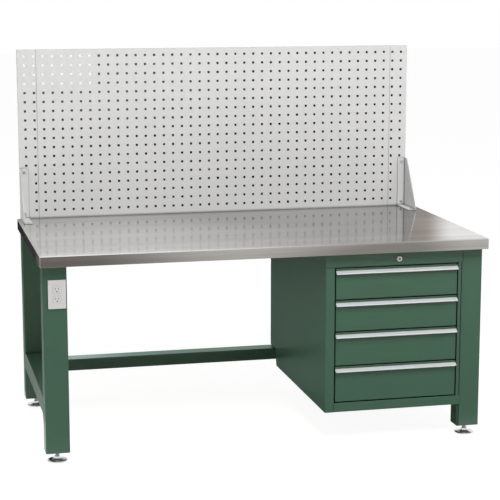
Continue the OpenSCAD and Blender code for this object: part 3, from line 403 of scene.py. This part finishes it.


# %% Green paint
# The third green is painted shade for the gaps. A painted shadow line lies on the right leg beside
# the cabinet's frame, and it steps out further above the riser's foot.
GREEN, GREEN_GLOSS = (rgb(54, 87, 68), rgb(60, 93, 74), rgb(4, 7, 5)), 0.28
SHADOW_LINE_W = 5 * MM
stile_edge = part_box("cabinet_side_right")[1].x
riser_foot, riser_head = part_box("riser_front")
green = powder_coat("green_paint", GREEN, GREEN_GLOSS)
green_with_shadow_line = powder_coat("green_paint_with_shadow_line", GREEN, GREEN_GLOSS,
    (stile_edge, SHADOW_LINE_W, riser_head.x - stile_edge, riser_foot.z))
print("seam beside the cabinet at x =", round(stile_edge, 4), round(riser_head.x, 4))

# %% Grey paint of the panel
# The third grey is painted shade for the gaps, and a thin painted shadow line runs down each joint
# of the panel, where a folded edge turns away from the light.
GREY, GREY_GLOSS = (rgb(207, 207, 206), rgb(214, 214, 213), rgb(100, 100, 100)), 0.42
JOIN_SHADE_W = 1.4 * MM
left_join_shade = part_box("pegboard_upright_left")[1].x - JOIN_SHADE_W
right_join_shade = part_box("pegboard_upright_right")[0].x
grey = powder_coat("grey_paint", GREY, GREY_GLOSS)
grey_left = powder_coat("grey_paint_left", GREY, GREY_GLOSS, (left_join_shade, JOIN_SHADE_W, 0.0, 0.0))
grey_right = powder_coat("grey_paint_right", GREY, GREY_GLOSS, (right_join_shade, JOIN_SHADE_W, 0.0, 0.0))
print("joints of the panel at x =", round(left_join_shade, 4), round(right_join_shade, 4))

# %% [markdown]
# ## Bright and dull metals
# Chrome on the feet is almost a mirror. Zinc on bolts and slides is duller
# and a little blue, galvanised sheet has its spangle of crystals, and the
# pulls are drawn aluminium with fine lines along their length. The lock's
# plug is a casting with a key slot, and all that lies deeper than its face is
# painted near black: painted shade for a slot so narrow that light hardly
# reaches in.

# %% Chrome and zinc
plating = Finish("chrome")
chrome = plating.surface(
    base_color=rgb(214, 215, 217), metallic=1.0,
    roughness=plating.noise(60.0).ramp(0.3, 0.7, 0.07, 0.13),
    normal=plating.edge(0.6 * MM))

bath = Finish("zinc")
zinc = bath.surface(
    base_color=bath.tint(bath.noise(90.0, 3.0), rgb(176, 178, 182), rgb(204, 205, 206)),
    metallic=1.0, roughness=bath.noise(240.0).ramp(0.3, 0.7, 0.26, 0.38),
    normal=bath.edge(0.5 * MM))
print("plated:", chrome.name, zinc.name)

# %% Casting of the lock's plug
KEYWAY_FROM = 0.6 * MM
plug_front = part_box("lock_plug")[0].y
casting = Finish("lock_plug")
# painted shade: near black and not metallic deeper than the plug's face, in the key slot
keyway_shade = casting.axis(1).over(plug_front + KEYWAY_FROM)
plug_metal = casting.surface(
    base_color=casting.tint(keyway_shade, rgb(150, 150, 152), rgb(16, 16, 17)),
    metallic=1.0 - keyway_shade, roughness=casting.noise(300.0).ramp(0.3, 0.7, 0.24, 0.34),
    normal=casting.edge(0.4 * MM))
print("plug's face at y =", round(plug_front, 4))

# %% Galvanised sheet and drawn aluminium
FLAKES_PER_M = 110.0
DRAWN_LINES = (3, 1500, 1500)

dip = Finish("galvanised")
flake = dip.add("TexVoronoi", sockets={"Vector": dip.spot(), "Scale": FLAKES_PER_M}, out=1)
shade = dip.add("SeparateColor", sockets={0: flake})
galvanised = dip.surface(
    base_color=dip.tint(shade, rgb(158, 161, 165), rgb(196, 198, 200)),
    metallic=1.0, roughness=shade * 0.16 + 0.34, normal=dip.edge(0.5 * MM))

drawn = Finish("aluminium")
draw_lines = drawn.noise(1.0, 3.0, scale=DRAWN_LINES)
aluminium = drawn.surface(
    base_color=drawn.tint(draw_lines, rgb(222, 222, 224), rgb(238, 238, 240)),
    metallic=0.45, roughness=draw_lines * 0.1 + 0.30,
    normal=drawn.bump(draw_lines, 0.03 * MM, 0.5, drawn.edge(0.5 * MM)))
print("sheet and pulls:", galvanised.name, aluminium.name)

# %% [markdown]
# ## Board and plastic
# The core under the sheet is chipboard, pressed from flat chips of wood. The
# outlet and its plate are moulded plastic, smooth with a soft gloss. The
# outlet's slots swallow light, so they are painted dark from just behind its
# face, as painted shade, and the thin gap round each face gets painted shade
# where Ambient Occlusion finds it, as the gaps in the paint do.

# %% Chipboard
FLAT = (1, 1, 2.5)
CHIPS_PER_M = 260.0

press = Finish("chipboard")
chips = press.add("TexVoronoi", sockets={"Vector": press.spot(FLAT), "Scale": CHIPS_PER_M}, out=1)
chip = press.add("SeparateColor", sockets={0: chips})
shade = chip * 0.7 + press.noise(900.0) * 0.3
board = press.surface(
    base_color=press.tint(shade, rgb(150, 116, 76), rgb(204, 172, 126)),
    roughness=chip * 0.2 + 0.65, normal=press.bump(chip, 0.2 * MM, 0.4))
print("chips are", round(1000 / CHIPS_PER_M, 1), "mm across")

# %% Moulded plastic
def moulded(name, colour, warm, rough, painted_shade_from=None):
    """A moulded plastic with painted shade in its gaps and, past the given depth along Y, in its
    slots.
    """
    mould = Finish(name)
    cast = mould.noise(500.0, 1.0)
    face = mould.tint(mould.noise(14.0), colour, warm)
    # painted shade in the slots: near black past the given depth
    if painted_shade_from:
        face = mould.tint(mould.axis(1).over(painted_shade_from), face, rgb(10, 9, 8))
    # painted shade in the gaps that Ambient Occlusion finds
    face = mould.tint(mould.open_air(3 * MM).ramp(0.3, 0.8), rgb(40, 38, 36), face)
    return mould.surface(
        base_color=face,
        roughness=cast * 0.06 + rough, normal=mould.bump(cast, 0.02 * MM, 0.4, mould.edge(0.7 * MM)))


SLOTS_FROM = 0.1 * MM
socket_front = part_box("outlet_receptacle")[0].y
plate_plastic = moulded("plate_plastic", rgb(202, 201, 200), rgb(208, 207, 206), 0.30)
socket_plastic = moulded("socket_plastic", rgb(200, 199, 198), rgb(206, 205, 204), 0.28,
    socket_front + SLOTS_FROM)
print("outlet's face at y =", round(socket_front, 4))

# %% [markdown]
# ## Which solid has which finish
# Solids of one make share a finish, and their names say what they are, so
# the start of a name or its end picks the finish. The first match counts.

# %% Give each solid its finish
def finish_for(name):
    """The finish that a solid has on the real bench, by the solid's name."""
    by_start = [
        ("worktop_skin", stainless), ("worktop_core", board), ("worktop_screws", zinc),
        ("foot_", chrome), ("frame_bolts", zinc), ("cabinet_bolts", zinc),
        ("panel_fasteners", zinc), ("slide_", zinc), ("lock_body", chrome),
        ("lock_plug", plug_metal), ("lock_", zinc),
        ("outlet_plate", plate_plastic), ("outlet_receptacle", socket_plastic),
        ("outlet_box", galvanised), ("pegboard_upright_left", grey_left),
        ("pegboard_upright_right", grey_right), ("pegboard_", grey), ("gusset_", grey),
        ("leg_front_right", green_with_shadow_line), ("leg_", green), ("side_rail_", green),
        ("stringer", green), ("cabinet_", green), ("riser_", green)]
    by_end = [("_front", green), ("_pull", aluminium), ("_runner", zinc),
        ("_slide_mid", zinc), ("_box", galvanised)]
    if name.startswith("drawer"):
        return next(finish for end, finish in by_end if name.endswith(end))
    return next(finish for start, finish in by_start if name.startswith(start))


for name, solid in nodes.items():
    solid.data.materials.clear()
    solid.data.materials.append(finish_for(name))
print("dressed", len(nodes), "solids")

# %% [markdown]
# ## Levelling feet
# Each leg stands on a turned steel pad with a hexagon to grip and a threaded
# stud that runs up into a nut plate in the leg. A lathe makes such a form
# from a profile, and so does this helper: a disc is extruded again and again,
# and each new ring is scaled to the radius that the profile has there. One
# foot is modelled and then copied to the other three legs.

# %% A lathe made of extrusions
def turned(name, place, profile, sides, finish):
    """A closed form whose rings follow the profile, a list of (radius, height)."""
    radius, height = profile[0]
    bpy.ops.object.select_all(action="DESELECT")
    bpy.ops.mesh.primitive_circle_add(vertices=sides, radius=radius, fill_type="NGON",
        location=(place[0], place[1], height))
    piece = bpy.context.object
    piece.name = name
    bpy.ops.object.mode_set(mode="EDIT")
    bpy.ops.mesh.select_all(action="SELECT")
    for next_radius, next_height in profile[1:]:
        bpy.ops.mesh.extrude_region_move(
            TRANSFORM_OT_translate={"value": (0, 0, next_height - height)})
        share = next_radius / radius
        bpy.ops.transform.resize(value=(share, share, 1),
            center_override=(place[0], place[1], next_height))
        radius, height = next_radius, next_height
    bpy.ops.mesh.select_all(action="SELECT")
    bpy.ops.mesh.normals_make_consistent(inside=False)
    bpy.ops.object.mode_set(mode="OBJECT")
    bpy.ops.object.transform_apply(location=True, rotation=False, scale=False)
    piece.data.materials.clear()
    piece.data.materials.append(finish)
    return piece


# %% One foot
low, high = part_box("foot_front_left")
PAD_R = (high.x - low.x) / 2
RIM, CONE, GRIP = 7 * MM, 12 * MM, 21 * MM
THREAD = 1.75 * MM
STUD_R = 7.9 * MM
place = ((low.x + high.x) / 2, (low.y + high.y) / 2)

pad = turned("foot_pad", place, [
    (PAD_R - 3 * MM, 0.0), (PAD_R - 0.8 * MM, 0.0), (PAD_R, 0.8 * MM), (PAD_R, RIM - 2.4 * MM),
    (PAD_R - 0.7 * MM, RIM - 0.9 * MM), (PAD_R - 2.2 * MM, RIM), (PAD_R - 9 * MM, RIM + 0.9 * MM),
    (PAD_R - 17 * MM, RIM + 2.2 * MM), (PAD_R - 23 * MM, RIM + 3.6 * MM),
    (15 * MM, CONE - 0.8 * MM), (14.2 * MM, CONE), (12 * MM, CONE)], 96, chrome)
nut = turned("foot_nut", place, [
    (11.3 * MM, CONE - 0.5 * MM), (12.5 * MM, CONE + 0.3 * MM), (12.5 * MM, GRIP - 0.8 * MM),
    (11.3 * MM, GRIP)], 6, chrome)
thread = [(STUD_R, GRIP - 1 * MM)]
for turn in range(int((high.z - GRIP) / THREAD)):
    height = GRIP + turn * THREAD
    thread += [(STUD_R, height + 0.2 * THREAD), (STUD_R - 0.9 * MM, height + 0.6 * THREAD),
        (STUD_R, height + THREAD)]
stud = turned("foot_stud", place, thread, 32, zinc)
for piece in (pad, stud):
    only_selected(piece)
    bpy.ops.object.shade_smooth_by_angle(angle=math.radians(38))
print("one foot:", [(p.name, len(p.data.polygons)) for p in (pad, nut, stud)])

# %% Join it and set one under each leg
bpy.ops.object.select_all(action="DESELECT")
for piece in (pad, nut, stud):
    piece.select_set(True)
bpy.context.view_layer.objects.active = pad
bpy.ops.object.join()
first_foot = bpy.context.object
for corner in ("front_left", "front_right", "rear_left", "rear_right"):
    foot = first_foot
    if corner != "front_left":
        only_selected(first_foot)
        bpy.ops.object.duplicate()
        foot = bpy.context.object
        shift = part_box("foot_" + corner)[0] - low
        bpy.ops.transform.translate(value=shift)
        bpy.ops.object.transform_apply(location=True, rotation=False, scale=False)
    foot.name = "levelling_foot_" + corner
    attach(foot, "foot_" + corner)
    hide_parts("foot_" + corner)
print("feet set under", round(high.z / MM), "mm studs")

# %% [markdown]
# ## What shows through the panel
# The panel's holes are real holes. In the photograph the studio behind them
# was dark, and only the corner at the upper left had white paper behind it.
# A dark card just behind the panel gives that. It darkens to the right and
# downwards, as the studio did, and the steel mirrors it a little paler than
# the eye sees it. It is part of the studio, not of the bench, and it is clear
# when looked at from behind.

# %% Card behind the holes
low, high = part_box("pegboard_centre")
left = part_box("pegboard_upright_left")[0]
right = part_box("pegboard_upright_right")[1]
CARD_IN = 12 * MM
CLEAR_W, CLEAR_H = 0.335, 0.170
IN_MIRROR = 0.30
bpy.ops.object.select_all(action="DESELECT")
bpy.ops.mesh.primitive_plane_add(size=1)
card = bpy.context.object
card.name = "hole_card"
edges = (left.x + CARD_IN, right.x - CARD_IN, low.z + CARD_IN, high.z - CARD_IN)
behind = high.y + 0.5 * MM
for vertex, (x, z) in zip((0, 1, 3, 2), (
        (edges[0], edges[2]), (edges[1], edges[2]), (edges[1], edges[3]), (edges[0], edges[3]))):
    card.data.vertices[vertex].co = (x, behind, z)
print("card behind the panel at y =", round(behind, 4))

# %% Dusk on the card
dusk = Finish("dark_studio")
away, down = dusk.axis(0) - edges[0], edges[3] - dusk.axis(2)
# painted shade: the card's dim glow stands for the dark studio behind the holes, darker to the right
# and downwards
gloom = away.ramp(0.3, 1.2, 0.10, 0.02) * down.ramp(0.1, 0.45, 1.0, 0.2)
# painted reflection: in gloss the card is a little paler than the eye sees it
gloom = gloom + dusk.add("LightPath", out="Is Glossy Ray") * IN_MIRROR
tone = dusk.add("CombineColor", sockets={0: gloom, 1: gloom, 2: gloom})
dark = dusk.add("Emission", sockets={0: tone, 1: 1.0})
clear = dusk.add("BsdfTransparent")
corner = away.under(CLEAR_W) * down.under(CLEAR_H)
from_behind = dusk.add("NewGeometry", out="Backfacing")
card.data.materials.append(dusk.close(
    dusk.add("MixShader", sockets={0: from_behind.maths("MAXIMUM", corner), 1: dark, 2: clear})))
card.visible_diffuse = card.visible_shadow = False
print("clear corner", CLEAR_W, "by", CLEAR_H)
